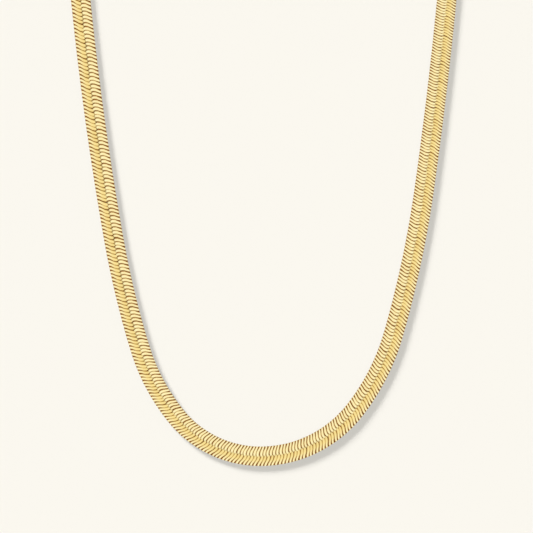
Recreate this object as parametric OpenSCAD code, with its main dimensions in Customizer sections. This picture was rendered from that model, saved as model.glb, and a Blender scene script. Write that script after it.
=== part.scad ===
// Herringbone necklace: a flat woven band closed into a loop by end caps, jump rings and a barrel clasp.
// It lies on its underside at Z = 0, with the front of the loop at -Y and the clasp at +Y.

/* [Chain] */
// Width of the woven band
chain_w = 5.2; // [3:0.1:7]
// Thickness of the woven band at its ridges
chain_t = 1.2; // [0.8:0.1:2]
// Mean spacing of the links along the band
link_pitch = 0.92; // [0.8:0.02:1.4]
// Depth of the groove between two links
groove_d = 0.18; // [0.06:0.02:0.3]
// How far the tips of the links stand out from the notches between them
tip_d = 0.14; // [0.06:0.02:0.3]

/* [Loop] */
// Height of the loop along the middle of the band
loop_h = 170; // [150:5:190]
// Radius that the bends of the front follow
bend_r = 30; // [27:1:33]
// Heading of the arms where the back bends start, in degrees from the X axis
arm_heading = 85; // [83:0.5:88]
// How far the lowest point of the front lies to the right of the clasp
front_shift = -1; // [-3:0.5:3]

/* [End caps] */
// Wall of an end cap around the band
cap_wall = 0.35; // [0.25:0.05:0.6]
// Thickness of the closed end of a cap
cap_end = 0.6; // [0.4:0.1:1]
// Length of band that a cap holds
cap_grip = 4.5; // [3:0.5:7]
// Length over which the band rises from the surface into a cap
rise_run = 10; // [6:1:16]

/* [Eyes and rings] */
// Outer diameter of a jump ring
ring_d = 5; // [4.4:0.1:6]
// Wire thickness of a jump ring
ring_wire = 0.8; // [0.6:0.05:0.9]
// Metal around the hole of an eye
eye_rim = 0.7; // [0.5:0.05:0.9]
// Width of an eye across the necklace
eye_w = 1.1; // [0.7:0.1:1.5]
// Metal between the hole of an eye and the piece that carries it
eye_root = 0.4; // [0.3:0.05:0.6]

/* [Clasp] */
// Length of the clasp's barrel
barrel_l = 7; // [5:0.5:10]
// Diameter of the clasp's barrel
barrel_d = 3; // [2.4:0.1:4]

/* [Clearances] */
// Gap between pieces that fit in or on each other
gap = 0.1; // [0.05:0.01:0.15]
// Room around a ring's wire in an eye
eye_play = 0.3; // [0.2:0.05:0.4]
// Straight band beyond each cap before the back bends start
back_run = 1.2; // [0.5:0.1:3]

/* [Hidden] */
$fn = 64;
GOLD = "#e6c163";
PALE_GOLD = "#f0d488";
DEGREE = PI / 180;

// Bends of the front from its lowest point outwards: radius as a share of bend_r, and turn in degrees
RIGHT_BENDS = [[1.07, 52], [1.99, 22], [9.5, 8]]; // share, degrees
LEFT_BENDS = [[0.97, 51], [1.79, 22], [8.25, 7]]; // share, degrees

// Link spacing along the band: share of the band's length from its left end, and share of link_pitch
SPACING = [[0, 1], [0.17, 1.13], [0.36, 1.08], [0.45, 0.95], [0.58, 1], [0.67, 0.97],
    [0.76, 0.86], [0.83, 0.8], [1, 1]]; // shares

// Ridge of one link from the outer to the inner edge of the band
ACROSS = 0; // share of half the width
AHEAD = 1; // share of the link spacing
SINK = 2; // share of the groove's depth
RIDGE = [[-1, 0, 0.2], [-0.05, 1.15, 0.6], [0.05, 0.75, 0], [1, 1.6, 0.2]]; // shares
GROOVE_AHEAD = 0.5; // share of the link spacing
EDGES = [0, len(RIDGE) - 1];

// Barrel of the clasp from its middle to one end
BARREL = [[0, 1], [0.7, 1], [0.9, 0.9], [1, 0.68]]; // share of half the length, share of the radius

// Eyes, rings and caps along the X axis from the middle of the clasp
eye_hole = ring_wire + 2 * eye_play;
eye_d = eye_hole + 2 * eye_rim;
eye_reach = eye_hole / 2 + eye_root;
eye_z = max(barrel_d, eye_d) / 2;
ring_r = (ring_d - ring_wire) / 2;
ring_inner_r = ring_r - ring_wire / 2;
ring_sag = ring_inner_r - sqrt(ring_inner_r ^ 2 - (eye_w / 2) ^ 2); // of the ring's inside across an eye
wire_off = eye_play - gap - ring_sag;
clasp_eye_x = barrel_l / 2 + eye_reach;
ring_x = clasp_eye_x + wire_off + ring_r;
cap_eye_x = ring_x + ring_r + wire_off;
cap_face_x = cap_eye_x + eye_reach;
band_end_x = cap_face_x + cap_end + gap;
cap_mouth_x = band_end_x + cap_grip;
back_half = cap_mouth_x + back_run;
pocket_w = chain_w + 2 * gap;
pocket_h = chain_t + 2 * gap;
cap_w = pocket_w + 2 * cap_wall;
cap_h = pocket_h + 2 * cap_wall;
rise_h = cap_wall + gap;

// A spot on the route is [x, y, heading], and an arc is [radius, turn] to the left
function arc_end(p, r, turn) = let (h = p[2] + turn)
    [p[0] + r * (sin(h) - sin(p[2])), p[1] - r * (cos(h) - cos(p[2])), h];
function arc_length(arc) = arc[0] * arc[1] * DEGREE;
function arcs_length(arcs, i = 0) = i == len(arcs) ? 0 : arc_length(arcs[i]) + arcs_length(arcs, i + 1);
function arcs_end(p, arcs, i = 0) = i == len(arcs) ? p : arcs_end(arc_end(p, arcs[i][0], arcs[i][1]), arcs, i + 1);

// Spot at a distance along the arcs, and straight on past their end
function spot_along(p, arcs, s, i = 0) =
    i == len(arcs) ? [p[0] + s * cos(p[2]), p[1] + s * sin(p[2]), p[2]]
    : s < arc_length(arcs[i]) ? arc_end(p, arcs[i][0], s / arcs[i][0] / DEGREE)
    : spot_along(arc_end(p, arcs[i][0], arcs[i][1]), arcs, s - arc_length(arcs[i]), i + 1);

// One half of the loop, with the arm and the back bend sized so that it closes straight behind the cap
function half_loop(shift, bends) = let (
        front = [for (b = bends) [b[0] * bend_r, b[1]]],
        p = arcs_end([shift, 0, 0], front),
        turn = arm_heading - p[2],
        lean = p[2] + turn / 2,
        chord = sin(turn / 2) / (turn / 2 * DEGREE),
        t = (1 + cos(arm_heading)) / sin(arm_heading),
        arm_l = (loop_h - p[1] - (p[0] - back_half) * t) / (chord * (t * cos(lean) + sin(lean))),
        back_r = (p[0] + arm_l * chord * cos(lean) - back_half) / sin(arm_heading)
    ) concat(front, [[arm_l / (turn * DEGREE), turn], [back_r, 180 - arm_heading]]);
right_arcs = half_loop(front_shift, RIGHT_BENDS);
left_arcs = half_loop(-front_shift, LEFT_BENDS);
right_l = arcs_length(right_arcs) + back_half - band_end_x;
left_l = arcs_length(left_arcs) + back_half - band_end_x;
chain_l = left_l + right_l;

// The loop's box is centred on the origin
back_r_right = right_arcs[len(right_arcs) - 1][0];
back_r_left = left_arcs[len(left_arcs) - 1][0];
move_x = (back_r_left - back_r_right) / 2;
move_y = -(loop_h + cap_w / 2 - chain_w / 2) / 2;

// Spot on the middle of the band at a distance from its left end
function spot(s) = s > left_l ? spot_along([front_shift, 0, 0], right_arcs, s - left_l)
    : let (p = spot_along([-front_shift, 0, 0], left_arcs, left_l - s)) [-p[0], p[1], -p[2]];
function ease(t) = let (u = max(0, min(1, t))) u * u * (3 - 2 * u);
function rise(s) = rise_h * ease(1 - (min(s, chain_l - s) - cap_grip) / rise_run);
function band_point(s, across, z) = let (p = spot(s))
    [p[0] - across * sin(p[2]) + move_x, p[1] + across * cos(p[2]) + move_y, z + rise(s)];

// Where each link starts on the outer edge
function spacing(s) = link_pitch * lookup(s / chain_l, SPACING);
last_start = chain_l - RIDGE[EDGES[1]][AHEAD] * spacing(chain_l);
steps = [for (s = 0; s < last_start; s = s + spacing(s)) s];
starts = steps * last_start / steps[len(steps) - 1];

// Each link gives its ridge, the two lower corners under it, and the groove behind it
function ridge_row(s) = [for (r = RIDGE)
    band_point(s + r[AHEAD] * spacing(s), r[ACROSS] * chain_w / 2, chain_t - r[SINK] * groove_d)];
function groove_row(s) = [for (r = RIDGE)
    band_point(s + (r[AHEAD] + GROOVE_AHEAD) * spacing(s), r[ACROSS] * (chain_w / 2 - tip_d), chain_t - groove_d)];
function lower_row(s) = [for (e = EDGES)
    band_point(s + RIDGE[e][AHEAD] * spacing(s), RIDGE[e][ACROSS] * (chain_w / 2 - tip_d), 0)];
function link_points(i) = concat(ridge_row(starts[i]), lower_row(starts[i]),
    i == len(starts) - 1 ? [] : groove_row(starts[i]));
function quad(a, b, c, d) = [[a, b, c], [a, c, d]];

// Numbers of a link's points within its ten
LOWER = len(RIDGE);
GROOVE = LOWER + len(EDGES);
LINK = GROOVE + len(RIDGE);
function link_faces(a) = let (b = a + LINK, e = EDGES[1]) concat(
    [for (c = [0 : e - 1]) each quad(a + c, a + c + 1, a + GROOVE + c + 1, a + GROOVE + c)],
    [for (c = [0 : e - 1]) each quad(a + GROOVE + c, a + GROOVE + c + 1, b + c + 1, b + c)],
    [[a + LOWER, a, a + GROOVE], [a + LOWER, a + GROOVE, b + LOWER], [b + LOWER, a + GROOVE, b]],
    [[a + LOWER + 1, a + GROOVE + e, a + e], [a + LOWER + 1, b + LOWER + 1, a + GROOVE + e],
        [b + LOWER + 1, b + e, a + GROOVE + e]],
    quad(a + LOWER, b + LOWER, b + LOWER + 1, a + LOWER + 1));
function start_faces(a) = [[a + LOWER, a + 1, a], [a + LOWER, a + 2, a + 1], [a + LOWER, a + LOWER + 1, a + 2],
    [a + LOWER + 1, a + 3, a + 2]];
function turned(faces) = [for (f = faces) [f[0], f[2], f[1]]];

module herringbone_chain() {
    links = len(starts) - 1;
    color(GOLD) polyhedron(
        points = [for (i = [0 : links]) each link_points(i)],
        faces = concat(
            [for (i = [0 : links - 1]) each link_faces(i * LINK)],
            start_faces(0),
            turned(start_faces(links * LINK))));
}

module rounded_oblong(w, h, r) {
    square([w - 2 * r, h], center = true);
    square([w, h - 2 * r], center = true);
    for (x = [-1, 1], y = [-1, 1]) translate([x * (w / 2 - r), y * (h / 2 - r)]) circle(r);
}

module eye(x) {
    translate([x, 0, eye_z]) rotate([90, 0, 0]) cylinder(h = eye_w, d = eye_d, center = true);
}

module eye_bore(x) {
    translate([x, 0, eye_z]) rotate([90, 0, 0]) cylinder(h = 2 * eye_w, d = eye_hole, center = true);
}

// Puts a piece drawn from the middle of the clasp at the back of the loop
module at_back() {
    translate([move_x, loop_h + move_y, 0]) children();
}

module end_cap() {
    color(PALE_GOLD) at_back() difference() {
        union() {
            translate([cap_face_x, 0, cap_h / 2]) rotate([90, 0, 90])
                linear_extrude(cap_mouth_x - cap_face_x) rounded_oblong(cap_w, cap_h, cap_wall);
            eye(cap_eye_x);
        }
        eye_bore(cap_eye_x);
        translate([cap_face_x + cap_end, -pocket_w / 2, cap_wall]) cube([cap_mouth_x, pocket_w, pocket_h]);
    }
}
module end_cap_right() { end_cap(); }
module end_cap_left() { translate([2 * move_x, 0, 0]) mirror([1, 0, 0]) end_cap(); }

module jump_ring(x) {
    color(PALE_GOLD) at_back() translate([x, 0, eye_z]) rotate_extrude() translate([ring_r, 0]) circle(d = ring_wire);
}
module jump_ring_right() { jump_ring(ring_x); }
module jump_ring_left() { jump_ring(-ring_x); }

module clasp() {
    half = [for (b = BARREL) [b[1] * barrel_d / 2, b[0] * barrel_l / 2]];
    last = len(half) - 1;
    outline = concat([[0, -barrel_l / 2]], [for (i = [last : -1 : 1]) [half[i][0], -half[i][1]]],
        [for (i = [1 : last]) half[i]], [[0, barrel_l / 2]]);
    color(GOLD) at_back() difference() {
        union() {
            translate([0, 0, eye_z]) rotate([0, 90, 0]) rotate_extrude() polygon(outline);
            for (side = [-1, 1]) eye(side * clasp_eye_x);
        }
        for (side = [-1, 1]) eye_bore(side * clasp_eye_x);
    }
}

herringbone_chain();
end_cap_left();
end_cap_right();
jump_ring_left();
jump_ring_right();
clasp();
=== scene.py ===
import math

import bpy
import numpy as np
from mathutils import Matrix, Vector


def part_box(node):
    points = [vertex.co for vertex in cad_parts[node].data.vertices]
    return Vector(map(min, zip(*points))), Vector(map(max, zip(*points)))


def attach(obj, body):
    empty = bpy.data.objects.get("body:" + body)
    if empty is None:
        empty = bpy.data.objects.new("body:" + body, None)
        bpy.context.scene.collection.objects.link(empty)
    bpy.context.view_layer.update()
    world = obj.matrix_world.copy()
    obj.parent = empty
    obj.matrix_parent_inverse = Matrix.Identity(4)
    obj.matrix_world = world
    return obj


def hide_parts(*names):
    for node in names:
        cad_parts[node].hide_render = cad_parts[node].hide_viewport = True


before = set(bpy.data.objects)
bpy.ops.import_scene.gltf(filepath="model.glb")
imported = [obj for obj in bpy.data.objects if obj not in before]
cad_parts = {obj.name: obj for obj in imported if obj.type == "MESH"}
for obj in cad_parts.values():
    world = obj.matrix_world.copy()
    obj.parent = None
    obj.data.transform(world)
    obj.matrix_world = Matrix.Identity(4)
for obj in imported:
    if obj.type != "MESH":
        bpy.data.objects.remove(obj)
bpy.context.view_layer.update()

MM = 0.001

# Band, in millimetres
CHAIN_W = 5.2
CHAIN_T = 1.2
LINK_PITCH = 0.92

# Loop, in millimetres and degrees
LOOP_H = 170.0
BEND_R = 30.0
ARM_HEADING = 85.0
FRONT_SHIFT = -1.0
BACK_RUN = 1.2
RIGHT_BENDS = ((1.07, 52), (1.99, 22), (9.5, 8))  # share of BEND_R, degrees
LEFT_BENDS = ((0.97, 51), (1.79, 22), (8.25, 7))  # share of BEND_R, degrees
ROUTE_STEP = 0.5

# End caps, in millimetres
CAP_WALL = 0.35
CAP_END = 0.6
CAP_GRIP = 4.5
RISE_RUN = 10.0
GAP = 0.1

# Eyes, rings and clasp, in millimetres
EYE_W = 1.1
EYE_RIM = 0.7
EYE_HOLE = 1.4
EYE_ROOT = 0.4
RING_D = 5.0
RING_WIRE = 0.8
RING_CUT = 0.05
BARREL_L = 7.0
BARREL_D = 3.0
BARREL_LINE = 0.12
BARREL = ((0.7, 1), (0.9, 0.9), (1, 0.68))  # share of half the length, share of the radius

# How finely the pieces are shaped, in steps, millimetres and degrees
ROUND_STEPS = 40
WIRE_STEPS = 24
FOLD_STEPS = 6  # in the rounding along the cap's folds
SOFT_STEPS = 3  # in the rounding of other rims
CUT_STEPS = 2  # in the rounding at the ring's saw cut
SOFT_EDGE = 0.09
MEETING = 0.002  # corners closer than this become one
LEVEL = 0.01  # an edge whose ends differ by less than this in x lies across the chain
LONG_EDGE = 1.0  # an edge whose ends differ by more than this in x runs along the cap
FACING = 0.99  # share of a face's normal from which it looks along an axis
RIM_ANGLE = 25
LINK_SMOOTH = 80
FITTING_SMOOTH = 30

# Link spacing along the band: share of its length from the left end, and share of LINK_PITCH
SPACING = ((0, 1), (0.17, 1.13), (0.36, 1.08), (0.45, 0.95), (0.58, 1), (0.67, 0.97),
           (0.76, 0.86), (0.83, 0.8), (1, 1))

# Sections of a link's two bars. ACROSS is a share of half the band's width, AHEAD, WIDE and CROWN are shares
# of the link spacing, THICK and LIFT are shares of the band's thickness, and the last two
# are painted: how strong the painted groove shade is, and how far painted light pales the gold
ACROSS, AHEAD, WIDE, CROWN, THICK, LIFT, PAINTED_SHADE, PAINTED_LIGHT = range(8)
OUTER_BAR = (
    (-1.00, -0.08, 0.90, 0.42, 0.93, 0.00, 0.3, 1.0),
    (-0.98, -0.07, 1.08, 0.48, 0.97, 0.00, 2.9, 1.0),
    (-0.80, 0.10, 1.18, 0.55, 0.98, 0.00, 2.4, 0.7),
    (-0.43, 0.79, 1.20, 0.76, 0.98, 0.00, 1.6, 0.0),
    (-0.15, 1.12, 1.19, 0.70, 0.97, -0.01, 2.2, 0.0),
    (0.10, 1.17, 0.84, 0.40, 0.89, -0.04, 2.2, 0.2),
)
INNER_BAR = (
    (-0.08, 0.86, 0.90, 0.50, 0.79, -0.01, 1.2, 0.5),
    (0.20, 0.77, 1.18, 0.65, 0.97, 0.01, 2.8, 0.75),
    (0.45, 0.91, 1.20, 0.71, 0.98, 0.00, 2.4, 0.5),
    (0.80, 1.42, 1.18, 0.55, 0.98, 0.00, 2.6, 0.8),
    (0.98, 1.65, 1.08, 0.49, 0.97, 0.00, 3.4, 1.0),
    (1.00, 1.66, 0.90, 0.43, 0.93, 0.00, 0.3, 1.0),
)
BAR_SIDES = 6
SIDE_HIGH = 0.68  # height of a bar's side corners, as a share of its crown's
UNDER_WIDE = 0.85  # width of a bar's underside, as a share of its widest
CROWN_FROM = 0.95  # share of a section's half height from which a corner is on its crown or underside
# Share of a section's painted groove shade on its crown corners
CROWN_SHADE = 0.11

# How far the links' bars stand from their even place: shares of the spacing at the middle and at the tips,
# and a share of the thickness
LOOSE_AHEAD = 0.05
LOOSE_TIP = 0.03
LOOSE_UP = 0.02
LOOSE_MOST = 2  # furthest from the even place, in standard deviations
LOOSE_SEED = 7
TIP_FROM = 0.5  # share of half the band's width where a bar's middle begins to turn into its tip
TIP_TO = 0.9  # and where it is all tip

# How deep the painted groove shade goes: least, spread, and what some of them add
MIDDLE_SHADE = (0.65, 0.35, 0.45)
DEEPER_SHARE = 0.2
TIP_SHADE = (0.95, 0.3)

# Golds
# Painted shaded and painted lit copies of the links' gold
SHADED_GOLD = (0.82, 0.66, 0.28, 1)
LIT_GOLD = (0.93, 0.855, 0.525, 1)
# Painted brown shade in the grooves between the links
GROOVE_SHADE_GOLD = (0.27, 0.095, 0.014, 1)
FITTING_GOLD = (0.83, 0.67, 0.30, 1)
WORN_GOLD = (0.95, 0.82, 0.50, 1)
WORN_EDGE = (0.5, 0.62)  # how pointed an edge is where the wear starts and where it is full
BOUNCE_WARMTH = 0.9  # what full painted groove shade adds to the gamma: painted warm bounce light
GROOVE_METAL = 0.25  # share of the metal's shine kept under full painted groove shade
SHINE_DEPTH = 0.35  # depth of painted groove shade down to which the metal keeps all its shine
LINK_SPECULAR = 0.1

# Polishing marks: scales of the noise for lines and patches, least and most roughness, and the relief's
# strength and its depth in millimetres
POLISH_LINES = 9000
POLISH_PATCHES = 260
PATCH_RANGE = (0.35, 0.65)  # noise values from the brightest patch to the dullest
LINK_ROUGH = (0.24, 0.36)
FITTING_ROUGH = (0.2, 0.34)
LINK_RELIEF = (0.08, 0.02)
FITTING_RELIEF = (0.1, 0.03)

# Lamps: strength, and in degrees the width of the disc, the heading of the light and the slope of its fall
KEY_LAMP = (3.7, 18, -48.27, 24.6)
TOP_LAMP = (2.0, 8, 0, 90)

# Room's light and colours, and the floor in millimetres
WALL_LIGHT = 0.5
CEILING_LIGHT = 1.24
CEILING_FROM = 0.7  # upward share of a direction from which the ceiling is at its brightest
MATT_LIGHT = 0.15  # what matt surfaces get in place of walls and ceiling
BACKDROP = (0.965, 0.94, 0.864, 1)
PAPER = (0.756, 0.734, 0.677, 1)
FLOOR_SIDE = 6000.0
FLOOR_DROP = 0.01

# Picture, in pixels, with the camera looking straight down from a height in millimetres
PICTURE = 533
PIXELS_PER_MM = 3.733
FRONT_PIXEL = (264.1, 456.3)  # where the middle of the band's front lies
CAMERA_HEIGHT = 2500.0
SENSOR = 36.0


def deselect():
    """Clears the selection, which the loaded frame leaves full."""
    if bpy.context.object and bpy.context.object.mode != "OBJECT":
        bpy.ops.object.mode_set(mode="OBJECT")
    bpy.ops.object.select_all(action="DESELECT")


def take(*pieces):
    """Selects these pieces alone, with the first one active."""
    deselect()
    for piece in pieces:
        piece.select_set(True)
    bpy.context.view_layer.objects.active = pieces[0]


def apply_modifier(piece, kind, **values):
    """Adds a modifier with these values and applies it."""
    take(piece)
    modifier = piece.modifiers.new(kind.lower(), kind)
    for key, value in values.items():
        setattr(modifier, key, value)
    bpy.ops.object.modifier_apply(modifier=modifier.name)


def edit_all(piece):
    """Opens the piece's mesh with all of it selected."""
    take(piece)
    bpy.ops.object.mode_set(mode="EDIT")
    bpy.ops.mesh.select_mode(type="VERT")
    bpy.ops.mesh.select_all(action="SELECT")


def settle(piece, name):
    """Puts the piece's place into its mesh and names it."""
    take(piece)
    bpy.ops.object.transform_apply(location=True, rotation=True, scale=True)
    piece.name = name
    piece.data.name = name


def smooth(piece, angle):
    """Shades the piece smoothly except over edges sharper than the angle."""
    take(piece)
    bpy.ops.object.shade_smooth_by_angle(angle=math.radians(angle))
    apply_modifier(piece, "WEIGHTED_NORMAL", mode="FACE_AREA", keep_sharp=True)


def clear_chosen(*groups):
    """Outside edit mode, leaves none of these corners, edges or faces selected."""
    for group in groups:
        group.foreach_set("select", np.zeros(len(group), dtype=bool))


def choose(piece, test):
    """In edit mode, selects the faces whose middle and normal pass the test, and no others."""
    bpy.ops.object.mode_set(mode="OBJECT")
    mesh = piece.data
    clear_chosen(mesh.vertices, mesh.edges, mesh.polygons)
    for face in mesh.polygons:
        face.select = test(face.center, face.normal)
    bpy.ops.object.mode_set(mode="EDIT")
    bpy.ops.mesh.select_mode(type="FACE")


def choose_corners(piece, test):
    """In edit mode, selects the corners that pass the test, and no others."""
    bpy.ops.object.mode_set(mode="OBJECT")
    mesh = piece.data
    clear_chosen(mesh.edges, mesh.polygons)
    mesh.vertices.foreach_set("select", np.array([test(corner) for corner in mesh.vertices]))
    bpy.ops.object.mode_set(mode="EDIT")
    bpy.ops.mesh.select_mode(type="VERT")


def choose_rims(piece, test=lambda one, two: True):
    """In edit mode, selects the sharp edges whose two ends, in millimetres, pass the test, and no others."""
    bpy.ops.mesh.select_mode(type="EDGE")
    bpy.ops.mesh.select_all(action="DESELECT")
    bpy.ops.mesh.edges_select_sharp(sharpness=math.radians(RIM_ANGLE))
    bpy.ops.object.mode_set(mode="OBJECT")
    mesh = piece.data
    for edge in mesh.edges:
        edge.select = edge.select and test(*(mesh.vertices[end].co / MM for end in edge.vertices))
    clear_chosen(mesh.vertices, mesh.polygons)
    bpy.ops.object.mode_set(mode="EDIT")


def tidy_mesh():
    """In edit mode, joins corners that meet and turns every face outward."""
    bpy.ops.mesh.select_all(action="SELECT")
    bpy.ops.mesh.remove_doubles(threshold=MEETING * MM)
    bpy.ops.mesh.normals_make_consistent(inside=False)


# Route of the band, the same as the solid's: a spot is (x, y, heading), and an arc is (radius, turn)

def arc_end(spot, radius, turn):
    """Where an arc from this spot ends."""
    x, y, heading = spot
    start, end = math.radians(heading), math.radians(heading + turn)
    return (x + radius * (math.sin(end) - math.sin(start)),
            y - radius * (math.cos(end) - math.cos(start)), heading + turn)


def arc_length(arc):
    return arc[0] * math.radians(arc[1])


def half_loop(shift, bends, back_half):
    """Arcs of one side from the front to the cap, with the arm and the back bend sized to close the loop."""
    arcs = [(share * BEND_R, turn) for share, turn in bends]
    spot = (shift, 0, 0)
    for arc in arcs:
        spot = arc_end(spot, *arc)
    x, y, heading = spot
    turn = ARM_HEADING - heading
    lean = math.radians(heading + turn / 2)
    half_turn = math.radians(turn / 2)
    chord = math.sin(half_turn) / half_turn
    arm_angle = math.radians(ARM_HEADING)
    back = (1 + math.cos(arm_angle)) / math.sin(arm_angle)
    arm_l = (LOOP_H - y - (x - back_half) * back) / (chord * (back * math.cos(lean) + math.sin(lean)))
    back_r = (x + arm_l * chord * math.cos(lean) - back_half) / math.sin(arm_angle)
    return arcs + [(arm_l / math.radians(turn), turn), (back_r, 180 - ARM_HEADING)]


def spot_along(spot, arcs, distance):
    """The spot at a distance along the arcs, or straight on past their end."""
    for arc in arcs:
        if distance < arc_length(arc):
            return arc_end(spot, arc[0], math.degrees(distance / arc[0]))
        spot = arc_end(spot, *arc)
        distance -= arc_length(arc)
    x, y, heading = spot
    way = math.radians(heading)
    return (x + distance * math.cos(way), y + distance * math.sin(way), heading)


clasp_low, clasp_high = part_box("clasp")
cap_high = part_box("end_cap_right")[1]
MIDDLE_X = (clasp_low.x + clasp_high.x) / 2 / MM
BACK_Y = (clasp_low.y + clasp_high.y) / 2 / MM
EYE_Z = (clasp_low.z + clasp_high.z) / 2 / MM
FRONT_Y = BACK_Y - LOOP_H
CAP_MOUTH = cap_high.x / MM - MIDDLE_X
BAND_END = CAP_MOUTH - CAP_GRIP
CAP_FACE = BAND_END - GAP - CAP_END
CAP_EYE = CAP_FACE - EYE_HOLE / 2 - EYE_ROOT
CAP_W = CHAIN_W + 2 * (GAP + CAP_WALL)
CAP_H = CHAIN_T + 2 * (GAP + CAP_WALL)
CLASP_EYE = BARREL_L / 2 + EYE_HOLE / 2 + EYE_ROOT
RING_X = (CAP_EYE + CLASP_EYE) / 2
RISE_H = CAP_WALL + GAP
BACK_HALF = CAP_MOUTH + BACK_RUN

right_arcs = half_loop(FRONT_SHIFT, RIGHT_BENDS, BACK_HALF)
left_arcs = half_loop(-FRONT_SHIFT, LEFT_BENDS, BACK_HALF)
LEFT_L = sum(map(arc_length, left_arcs)) + BACK_HALF - BAND_END
RIGHT_L = sum(map(arc_length, right_arcs)) + BACK_HALF - BAND_END
CHAIN_L = LEFT_L + RIGHT_L


def route_point(distance):
    """Place of the band's middle line at a distance from its left end, in metres."""
    if distance > LEFT_L:
        x, y, _ = spot_along((FRONT_SHIFT, 0, 0), right_arcs, distance - LEFT_L)
    else:
        x, y, _ = spot_along((-FRONT_SHIFT, 0, 0), left_arcs, LEFT_L - distance)
        x = -x
    return Vector((x + MIDDLE_X, y + FRONT_Y, 0)) * MM


def rise(distance):
    """How far the band has risen from the surface towards its caps, in millimetres."""
    inside = np.minimum(distance, CHAIN_L - distance)
    share = np.clip(1 - (inside - CAP_GRIP) / RISE_RUN, 0, 1)
    return RISE_H * share * share * (3 - 2 * share)


def link_spacing(distance):
    """How far apart the links stand at a distance from the left end."""
    shares, sizes = zip(*SPACING)
    return LINK_PITCH * np.interp(distance / CHAIN_L, shares, sizes)


def link_starts():
    """Where each link starts along the outer edge, with the last one ending inside the right cap."""
    last = CHAIN_L - INNER_BAR[-1][AHEAD] * link_spacing(CHAIN_L)
    starts = [0.0]
    while starts[-1] + link_spacing(starts[-1]) < last:
        starts.append(starts[-1] + link_spacing(starts[-1]))
    return np.array(starts[1:-1]) * last / starts[-1]


# Materials

def feed(tree, socket, value):
    """Links another node's output to this input, or gives the input a plain value."""
    if isinstance(value, bpy.types.NodeSocket):
        tree.links.new(value, socket)
    else:
        socket.default_value = value


def add_node(tree, kind, place, *fed, **values):
    """Adds a shader node. Named values set a property or an input, and the rest feed the inputs in order."""
    node = tree.nodes.new(kind)
    node.location = place
    for key, value in values.items():
        if hasattr(node, key):
            setattr(node, key, value)
        else:
            feed(tree, node.inputs[key.replace("_", " ")], value)
    for socket, value in zip(node.inputs, fed):
        feed(tree, socket, value)
    return node


def calculate(tree, place, operation, *fed, **values):
    """Adds a sum of outputs and plain numbers, and returns its result."""
    return add_node(tree, "ShaderNodeMath", place, *fed, operation=operation, **values).outputs[0]


def mix_colour(tree, place, factor, first, second):
    """Adds a mix of two colours, which are outputs or plain values, and returns its result."""
    node = add_node(tree, "ShaderNodeMix", place, data_type="RGBA")
    for number, value in ((0, factor), (6, first), (7, second)):
        feed(tree, node.inputs[number], value)
    return node.outputs[2]


def new_group(name, inputs, outputs):
    """Starts a shader node group of plain numbers, and returns it with what it is given and puts out."""
    group = bpy.data.node_groups.new(name, "ShaderNodeTree")
    for label, value in inputs.items():
        socket = group.interface.new_socket(label, in_out="INPUT", socket_type="NodeSocketFloat")
        socket.default_value = value
    for label in outputs:
        group.interface.new_socket(label, in_out="OUTPUT", socket_type="NodeSocketFloat")
    return group, group.nodes.new("NodeGroupInput").outputs, group.nodes.new("NodeGroupOutput").inputs


def new_material(name):
    """Starts a material and returns it with its node tree and its shader."""
    material = bpy.data.materials.new(name)
    material.use_nodes = True
    tree = material.node_tree
    return material, tree, tree.nodes["Principled BSDF"]


def polish_group():
    """Fine polishing lines and soft dull patches that both golds share."""
    group, given, made = new_group("polish_marks", {
        "Line Size": POLISH_LINES,
        "Patch Size": POLISH_PATCHES,
        "Bright Roughness": FITTING_ROUGH[0],
        "Dull Roughness": FITTING_ROUGH[1],
    }, ("Roughness", "Height"))
    where = add_node(group, "ShaderNodeTexCoord", (-900, 0)).outputs["Object"]
    lines = add_node(group, "ShaderNodeTexNoise", (-600, 150), Vector=where, Scale=given["Line Size"],
                     Detail=2.0, Roughness=0.6)
    patches = add_node(group, "ShaderNodeTexNoise", (-600, -150), Vector=where, Scale=given["Patch Size"],
                       Detail=3.0, Roughness=0.55)
    dulled = add_node(group, "ShaderNodeMapRange", (-300, 0), Value=patches.outputs["Fac"],
                      From_Min=PATCH_RANGE[0], From_Max=PATCH_RANGE[1],
                      To_Min=given["Bright Roughness"], To_Max=given["Dull Roughness"])
    feed(group, made["Roughness"], dulled.outputs["Result"])
    feed(group, made["Height"], lines.outputs["Fac"])
    return group


def coat(tree, shader, colour, marks, relief):
    """Gives a gold's shader its colour and its polishing marks."""
    strength, depth = relief
    bump = add_node(tree, "ShaderNodeBump", (-300, -300), Height=marks.outputs["Height"], Strength=strength,
                    Distance=depth * MM)
    feed(tree, shader.inputs["Base Color"], colour)
    feed(tree, shader.inputs["Roughness"], marks.outputs["Roughness"])
    feed(tree, shader.inputs["Normal"], bump.outputs["Normal"])


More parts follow.
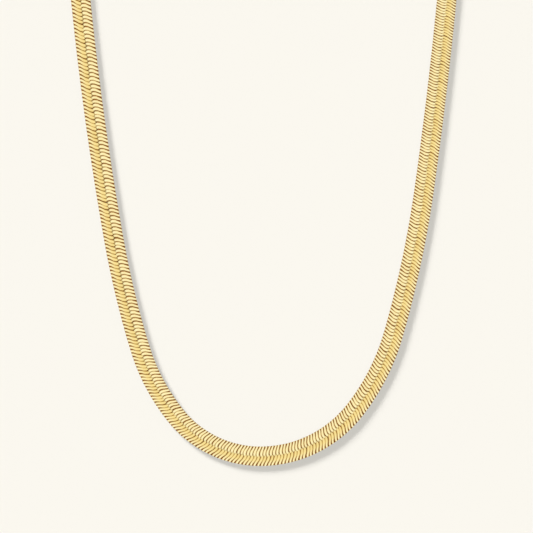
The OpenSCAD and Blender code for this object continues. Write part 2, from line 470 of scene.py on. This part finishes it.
def woven_gold(polish):
    """Gold of the links: painted shade deepens the outer column and browns the grooves,
    painted light pales the inner column and the tips.
    """
    material, tree, shader = new_material("woven_gold")
    # What the corners carry: side of the crown line, painted light, painted groove shade and each link's
    # share
    side, pale, groove, shade = (
        add_node(tree, "ShaderNodeAttribute", (-900, height), attribute_name=name).outputs["Fac"]
        for name, height in (("side", 500), ("pale", 300), ("groove", 100), ("link_shade", -100))
    )
    marks = add_node(tree, "ShaderNodeGroup", (-900, -300), node_tree=polish, Bright_Roughness=LINK_ROUGH[0],
                     Dull_Roughness=LINK_ROUGH[1])
    # The side runs from -1 to 1 over a bar, so it is nought along the line down its crown,
    # where the painted groove shade fades into a painted highlight line
    aside = calculate(tree, (-700, 500), "ABSOLUTE", side)
    lined = calculate(tree, (-700, 100), "MULTIPLY", groove, aside)
    depth = calculate(tree, (-500, 100), "MULTIPLY", lined, shade, use_clamp=True)
    # Painted light: a pale lit copy of the gold where the corners ask for it
    crown = mix_colour(tree, (-600, 300), pale, SHADED_GOLD, LIT_GOLD)
    # Painted bounce light: the deeper the painted shade, the warmer and deeper the gold
    warmth = calculate(tree, (-500, 260), "MULTIPLY_ADD", depth, BOUNCE_WARMTH, 1)
    warmed = add_node(tree, "ShaderNodeGamma", (-400, 340), crown, warmth).outputs[0]
    # Painted brown shade in the grooves
    toned = mix_colour(tree, (-300, 200), depth, warmed, GROOVE_SHADE_GOLD)
    # Where the painted shade is deep the metal loses its shine, so the lamps light it brown
    dulled = add_node(tree, "ShaderNodeMapRange", (-300, 0), Value=depth, From_Min=SHINE_DEPTH, To_Min=1,
                      To_Max=GROOVE_METAL)
    feed(tree, shader.inputs["Metallic"], dulled.outputs["Result"])
    feed(tree, shader.inputs["Specular IOR Level"], LINK_SPECULAR)
    coat(tree, shader, toned, marks, LINK_RELIEF)
    return material


def polished_gold(polish):
    """Polished gold of the caps, rings and clasp, a little paler on its worn edges."""
    material, tree, shader = new_material("polished_gold")
    marks = add_node(tree, "ShaderNodeGroup", (-900, -300), node_tree=polish)
    shape = add_node(tree, "ShaderNodeNewGeometry", (-900, 200))
    edge = add_node(tree, "ShaderNodeMapRange", (-600, 200), Value=shape.outputs["Pointiness"],
                    From_Min=WORN_EDGE[0], From_Max=WORN_EDGE[1])
    toned = mix_colour(tree, (-300, 200), edge.outputs["Result"], FITTING_GOLD, WORN_GOLD)
    feed(tree, shader.inputs["Metallic"], 1)
    coat(tree, shader, toned, marks, FITTING_RELIEF)
    return material


# Woven band

def section_place(section):
    """Middle of a bar's section."""
    return Vector((section[AHEAD] * LINK_PITCH, section[ACROSS] * CHAIN_W / 2,
                   (0.5 + section[LIFT]) * CHAIN_T)) * MM


def section_of(corner, sections):
    """The section of a bar's corner, and 1 on its crown, 0 on its side or -1 on its underside."""
    across = corner.co.y / MM / (CHAIN_W / 2)
    section = min(sections, key=lambda row: abs(row[ACROSS] - across))
    height = (corner.co.z - section_place(section).z) / MM / (section[THICK] * CHAIN_T / 2)
    return section, int(height / CROWN_FROM)


def draw_bar(sections):
    """Draws one bar of a link: a six-sided outline that is extruded from section to section."""
    # Height and crown of an even outline, as shares of its widest
    even = math.cos(math.pi / BAR_SIDES)
    narrow = math.sin(math.pi / BAR_SIDES)
    first = section_place(sections[0])
    deselect()
    bpy.ops.mesh.primitive_circle_add(vertices=BAR_SIDES, radius=MM / 2, fill_type="NGON", location=first,
                                      rotation=(math.pi / 2, math.pi / BAR_SIDES, 0))
    bar = bpy.context.object
    settle(bar, "bar")
    edit_all(bar)
    size = (sections[0][WIDE] * LINK_PITCH, 1, sections[0][THICK] * CHAIN_T / even)
    bpy.ops.transform.resize(value=size, center_override=first)
    for before, after in zip(sections, sections[1:]):
        step = section_place(after) - section_place(before)
        bpy.ops.mesh.extrude_region_move(TRANSFORM_OT_translate={"value": step})
        grown = (after[WIDE] / before[WIDE], 1, after[THICK] / before[THICK])
        bpy.ops.transform.resize(value=grown, center_override=section_place(after))
    bpy.ops.mesh.select_all(action="SELECT")
    bpy.ops.mesh.normals_make_consistent(inside=False)
    for section in sections:
        middle = section_place(section)
        choose_corners(bar, lambda corner: section_of(corner, sections) == (section, 0))
        bpy.ops.transform.translate(value=(0, 0, SIDE_HIGH * section[THICK] * CHAIN_T * MM / 2))
        for level, wide in ((1, section[CROWN] / section[WIDE]), (-1, UNDER_WIDE)):
            choose_corners(bar, lambda corner: section_of(corner, sections) == (section, level))
            bpy.ops.transform.resize(value=(wide / narrow, 1, 1), center_override=middle)
    bpy.ops.object.mode_set(mode="OBJECT")
    return bar


def mark_bar(bar, sections):
    """Writes on the bar how much painted shade each corner gets in the grooves, on which side of its section
    it lies, and how far painted light pales its gold.
    """
    layers = {name: bar.data.attributes.new(name, "FLOAT", "POINT") for name in ("groove", "side", "pale")}
    for corner in bar.data.vertices:
        section, level = section_of(corner, sections)
        # Crown corners get only a small share of the painted groove shade
        shade_share = CROWN_SHADE if level == 1 else 1
        layers["groove"].data[corner.index].value = shade_share * section[PAINTED_SHADE]
        layers["side"].data[corner.index].value = math.copysign(1, corner.co.x - section_place(section).x)
        layers["pale"].data[corner.index].value = section[PAINTED_LIGHT]


def draw_link():
    """One flat S-shaped link: an outer bar that dives at the spine and an inner bar that rises there."""
    bars = []
    for sections in (OUTER_BAR, INNER_BAR):
        bar = draw_bar(sections)
        mark_bar(bar, sections)
        bars.append(bar)
    take(*bars)
    bpy.ops.object.join()
    return bars[0]


def by_column(across, middle, tips):
    """Spreads each link's own values over its corners: one for each bar's middle and one for its tip."""
    count, corners = across.shape
    bar = (np.arange(corners) >= corners // 2).astype(int)
    near_tip = np.clip((np.abs(across) - TIP_FROM) / (TIP_TO - TIP_FROM), 0, 1)
    return (1 - near_tip) * middle[:, bar] + near_tip * tips[:, bar]


def lay_links(strip, starts):
    """Moves the links of a straight even strip to their spacing, each a little loose, and lifts the ends."""
    mesh = strip.data
    count = len(starts)
    corners = np.empty(len(mesh.vertices) * 3)
    mesh.vertices.foreach_get("co", corners)
    corners = corners.reshape(count, -1, 3) / MM
    chance = np.random.default_rng(LOOSE_SEED)
    ahead, tips_ahead, up = chance.normal(0, 1, (3, count, 2)).clip(-LOOSE_MOST, LOOSE_MOST)
    across = corners[:, :, 1] / (CHAIN_W / 2)
    local = corners[:, :, 0] / LINK_PITCH - np.arange(count)[:, None]
    local += by_column(across, LOOSE_AHEAD * ahead, LOOSE_TIP * tips_ahead)
    corners[:, :, 0] = starts[:, None] + local * link_spacing(starts)[:, None]
    height = corners[:, :, 2] + CHAIN_T * by_column(across, LOOSE_UP * up, np.zeros_like(up))
    corners[:, :, 2] = np.clip(height, 0, CHAIN_T) + rise(corners[:, :, 0])
    mesh.vertices.foreach_set("co", (corners * MM).ravel())
    # Each bar's share of painted groove shade, by chance for each link, with some links much deeper
    least, spread, deeper = MIDDLE_SHADE
    middle = least + spread * chance.random((count, 2)) + deeper * (chance.random((count, 2)) < DEEPER_SHARE)
    least, spread = TIP_SHADE
    tips = chance.random((count + 1, 2))
    tips = least + spread * (tips[1:] + tips[:-1]) / 2
    shade = mesh.attributes.new("link_shade", "FLOAT", "POINT")
    shade.data.foreach_set("value", by_column(across, middle, tips).ravel())


def draw_route():
    """Curve along the middle of the band."""
    line = bpy.data.curves.new("route", "CURVE")
    line.dimensions = "2D"
    steps = np.linspace(0, CHAIN_L, round(CHAIN_L / ROUTE_STEP) + 1)
    spline = line.splines.new("POLY")
    spline.points.add(len(steps) - 1)
    for point, distance in zip(spline.points, steps):
        point.co = (*route_point(distance), 1)
    route = bpy.data.objects.new("route", line)
    bpy.context.collection.objects.link(route)
    return route


def weave_band(gold):
    """Copies one link along the route, as one woven piece."""
    starts = link_starts()
    strip = draw_link()
    apply_modifier(strip, "ARRAY", count=len(starts), use_relative_offset=False, use_constant_offset=True,
                   constant_offset_displace=(LINK_PITCH * MM, 0, 0))
    lay_links(strip, starts)
    route = draw_route()
    apply_modifier(strip, "CURVE", object=route, deform_axis="POS_X")
    bpy.data.objects.remove(route)
    settle(strip, "woven_band")
    smooth(strip, LINK_SMOOTH)
    strip.data.materials.append(gold)
    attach(strip, "root")
    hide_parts("herringbone_chain")
    # Keeps the band's gold glow off the floor
    strip.visible_diffuse = False


# Fittings

def at_back(x, y=0.0, z=0.0):
    """A place given from the middle of the clasp, in metres."""
    return Vector((MIDDLE_X + x, BACK_Y + y, EYE_Z + z)) * MM


def draw_eye(x):
    """Thick round eye that stands across the chain, with its rims softened."""
    deselect()
    outer = EYE_HOLE / 2 + EYE_RIM
    near = at_back(x, -EYE_W / 2)
    bpy.ops.mesh.primitive_circle_add(vertices=ROUND_STEPS, radius=outer * MM, fill_type="NOTHING",
                                      location=near, rotation=(math.pi / 2, 0, 0))
    eye = bpy.context.object
    settle(eye, "eye")
    edit_all(eye)
    bpy.ops.mesh.extrude_region_move()
    inward = EYE_HOLE / 2 / outer
    bpy.ops.transform.resize(value=(inward, 1, inward), center_override=near)
    bpy.ops.mesh.select_all(action="SELECT")
    bpy.ops.mesh.extrude_region_move(TRANSFORM_OT_translate={"value": (0, EYE_W * MM, 0)})
    tidy_mesh()
    choose_rims(eye)
    bpy.ops.mesh.bevel(offset=SOFT_EDGE * MM, segments=SOFT_STEPS, affect="EDGES")
    bpy.ops.object.mode_set(mode="OBJECT")
    return eye


def weld(piece, other):
    """Joins the other piece to this one as one closed skin."""
    apply_modifier(piece, "BOOLEAN", operation="UNION", solver="EXACT", object=other)
    bpy.data.objects.remove(other)
    edit_all(piece)
    tidy_mesh()
    bpy.ops.object.mode_set(mode="OBJECT")


def copy_of(piece):
    """A copy of the piece, with its own mesh."""
    take(piece)
    bpy.ops.object.duplicate(linked=False)
    return bpy.context.object


def draw_cap():
    """Flat folded cap with a pocket for the band's end and an eye at its back."""
    deselect()
    middle = at_back((CAP_FACE + CAP_MOUTH) / 2, z=CAP_H / 2 - EYE_Z)
    bpy.ops.mesh.primitive_cube_add(size=MM, location=middle, scale=(CAP_MOUTH - CAP_FACE, CAP_W, CAP_H))
    cap = bpy.context.object
    settle(cap, "cap")
    bpy.ops.object.mode_set(mode="EDIT")
    choose_rims(cap, lambda one, two: abs(one.x - two.x) > LONG_EDGE)
    bpy.ops.mesh.bevel(offset=CAP_WALL * MM, segments=FOLD_STEPS, affect="EDGES")
    choose_rims(cap, lambda one, two: abs(one.x - two.x) < LEVEL)
    bpy.ops.mesh.bevel(offset=SOFT_EDGE * MM, segments=SOFT_STEPS, affect="EDGES")
    choose(cap, lambda place, normal: normal.x > FACING)
    bpy.ops.mesh.inset(thickness=(CAP_WALL - 2 * SOFT_EDGE) * MM)
    bpy.ops.mesh.extrude_region_move(TRANSFORM_OT_translate={"value": (-SOFT_EDGE * MM, 0, 0)})
    lip = 2 * (CAP_WALL - SOFT_EDGE)
    narrower = [(side - 2 * CAP_WALL) / (side - lip) for side in (CAP_W, CAP_H)]
    bpy.ops.transform.resize(value=(1, *narrower), center_override=middle)
    depth = CAP_MOUTH - SOFT_EDGE - CAP_FACE - CAP_END
    bpy.ops.mesh.extrude_region_move(TRANSFORM_OT_translate={"value": (-depth * MM, 0, 0)})
    tidy_mesh()
    bpy.ops.object.mode_set(mode="OBJECT")
    weld(cap, draw_eye(CAP_EYE))
    return cap


def draw_ring(x):
    """Jump ring of round wire with a fine saw cut at its back."""
    deselect()
    radius = (RING_D - RING_WIRE) / 2
    middle = at_back(x)
    bpy.ops.mesh.primitive_circle_add(vertices=WIRE_STEPS, radius=RING_WIRE / 2 * MM, fill_type="NOTHING",
                                      location=at_back(x + radius), rotation=(math.pi / 2, 0, 0))
    ring = bpy.context.object
    settle(ring, "ring")
    cut = RING_CUT / radius
    edit_all(ring)
    bpy.ops.mesh.spin(steps=2 * ROUND_STEPS, angle=2 * math.pi - cut, center=middle, axis=(0, 0, 1))
    bpy.ops.mesh.select_all(action="SELECT")
    bpy.ops.mesh.fill_holes(sides=0)
    tidy_mesh()
    bpy.ops.transform.rotate(value=math.pi / 2 + cut / 2, orient_axis="Z", center_override=middle)
    choose_rims(ring)
    bpy.ops.mesh.bevel(offset=RING_CUT * MM, segments=CUT_STEPS, affect="EDGES")
    bpy.ops.object.mode_set(mode="OBJECT")
    return ring


def draw_clasp():
    """Plain barrel clasp with a fine turned line round its middle and an eye at each end."""
    line = BARREL_LINE / BARREL_L
    right = [(line, 1), *BARREL]
    turned = [(-along, size) for along, size in reversed(right)]
    turned += [(-line / 2, 1 - line), (line / 2, 1 - line)] + right
    deselect()
    start = at_back(turned[0][0] * BARREL_L / 2)
    bpy.ops.mesh.primitive_circle_add(vertices=2 * ROUND_STEPS, radius=BARREL_D / 2 * turned[0][1] * MM,
                                      fill_type="NGON", location=start, rotation=(0, math.pi / 2, 0))
    clasp = bpy.context.object
    settle(clasp, "clasp")
    edit_all(clasp)
    for before, after in zip(turned, turned[1:]):
        step = (after[0] - before[0]) * BARREL_L / 2 * MM
        bpy.ops.mesh.extrude_region_move(TRANSFORM_OT_translate={"value": (step, 0, 0)})
        grown = after[1] / before[1]
        bpy.ops.transform.resize(value=(1, grown, grown), center_override=at_back(after[0] * BARREL_L / 2))
    tidy_mesh()
    choose_rims(clasp, lambda one, two: abs(one.x - MIDDLE_X) > BARREL_LINE)
    bpy.ops.mesh.bevel(offset=SOFT_EDGE * MM, segments=SOFT_STEPS, affect="EDGES")
    bpy.ops.object.mode_set(mode="OBJECT")
    for side in (-1, 1):
        weld(clasp, draw_eye(side * CLASP_EYE))
    return clasp


def finish_fitting(piece, name, node, gold):
    """Smooths a fitting, coats it and gives it the place of its solid."""
    settle(piece, name)
    smooth(piece, FITTING_SMOOTH)
    piece.data.materials.clear()
    piece.data.materials.append(gold)
    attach(piece, "root")
    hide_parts(node)


def make_fittings(gold):
    """The two caps, the two jump rings and the clasp."""
    cap = draw_cap()
    other = copy_of(cap)
    edit_all(other)
    bpy.ops.transform.resize(value=(-1, 1, 1), center_override=at_back(0))
    tidy_mesh()
    bpy.ops.object.mode_set(mode="OBJECT")
    ring = draw_ring(RING_X)
    twin = copy_of(ring)
    bpy.ops.transform.translate(value=(-2 * RING_X * MM, 0, 0))
    finish_fitting(cap, "cap_right", "end_cap_right", gold)
    finish_fitting(other, "cap_left", "end_cap_left", gold)
    finish_fitting(ring, "ring_right", "jump_ring_right", gold)
    finish_fitting(twin, "ring_left", "jump_ring_left", gold)
    finish_fitting(draw_clasp(), "barrel_clasp", "clasp", gold)


# Stage

def lay_floor():
    """A wide sheet of pale matt paper, a hair below the resting face."""
    deselect()
    bpy.ops.mesh.primitive_plane_add(size=FLOOR_SIDE * MM, location=(0, 0, -FLOOR_DROP * MM))
    floor = bpy.context.object
    floor.name = "floor"
    material, tree, shader = new_material("pale_paper")
    feed(tree, shader.inputs["Base Color"], PAPER)
    feed(tree, shader.inputs["Roughness"], 1)
    feed(tree, shader.inputs["Specular IOR Level"], 0)
    floor.data.materials.append(material)


def light_room():
    """A bright soft ceiling over dim walls, which matt surfaces see less of, and a plain backdrop."""
    world = bpy.data.worlds.new("studio")
    bpy.context.scene.world = world
    world.use_nodes = True
    tree = world.node_tree
    where = add_node(tree, "ShaderNodeTexCoord", (-900, 0)).outputs["Generated"]
    upward = add_node(tree, "ShaderNodeSeparateXYZ", (-700, 0), where).outputs["Z"]
    ceiling = add_node(tree, "ShaderNodeMapRange", (-500, 0), interpolation_type="SMOOTHSTEP", Value=upward,
                       From_Max=CEILING_FROM, To_Min=WALL_LIGHT, To_Max=CEILING_LIGHT)
    room = tree.nodes["Background"]
    feed(tree, room.inputs["Color"], (1, 1, 1, 1))
    feed(tree, room.inputs["Strength"], ceiling.outputs["Result"])
    fill = add_node(tree, "ShaderNodeBackground", (-300, -350), Strength=MATT_LIGHT)
    backdrop = add_node(tree, "ShaderNodeBackground", (-300, -200), Color=BACKDROP)
    ray = add_node(tree, "ShaderNodeLightPath", (-300, 300)).outputs
    matt = add_node(tree, "ShaderNodeMixShader", (-100, 0), ray["Is Diffuse Ray"], room.outputs[0],
                    fill.outputs[0])
    both = add_node(tree, "ShaderNodeMixShader", (100, 100), ray["Is Camera Ray"], matt.outputs[0],
                    backdrop.outputs[0])
    feed(tree, tree.nodes["World Output"].inputs["Surface"], both.outputs[0])


def hang_lamp(name, strength, width, heading, slope):
    """A distant lamp with a soft disc, which puts no glint on the metal."""
    lamp = bpy.data.lights.new(name, "SUN")
    lamp.energy = strength
    lamp.angle = math.radians(width)
    holder = bpy.data.objects.new(name, lamp)
    holder.visible_glossy = False
    way, fall = math.radians(heading), math.radians(slope)
    towards = Vector((math.cos(way) * math.cos(fall), math.sin(way) * math.cos(fall), -math.sin(fall)))
    holder.rotation_euler = towards.to_track_quat("-Z", "Y").to_euler()
    bpy.context.collection.objects.link(holder)


def place_camera():
    """Looks straight down, with the band's front at its own pixel of the picture."""
    data = bpy.data.cameras.new("camera")
    camera = bpy.data.objects.new("camera", data)
    middle = PICTURE / 2
    x = MIDDLE_X + (middle - FRONT_PIXEL[0]) / PIXELS_PER_MM
    y = FRONT_Y + (FRONT_PIXEL[1] - middle) / PIXELS_PER_MM
    camera.location = Vector((x, y, CHAIN_T + CAMERA_HEIGHT)) * MM
    data.sensor_width = SENSOR
    data.lens = SENSOR * CAMERA_HEIGHT / (PICTURE / PIXELS_PER_MM)
    bpy.context.collection.objects.link(camera)
    bpy.context.scene.camera = camera
    bpy.context.scene.view_settings.view_transform = "Standard"


place_camera()
light_room()
hang_lamp("key", *KEY_LAMP)
hang_lamp("top", *TOP_LAMP)
lay_floor()
polish = polish_group()
weave_band(woven_gold(polish))
make_fittings(polished_gold(polish))
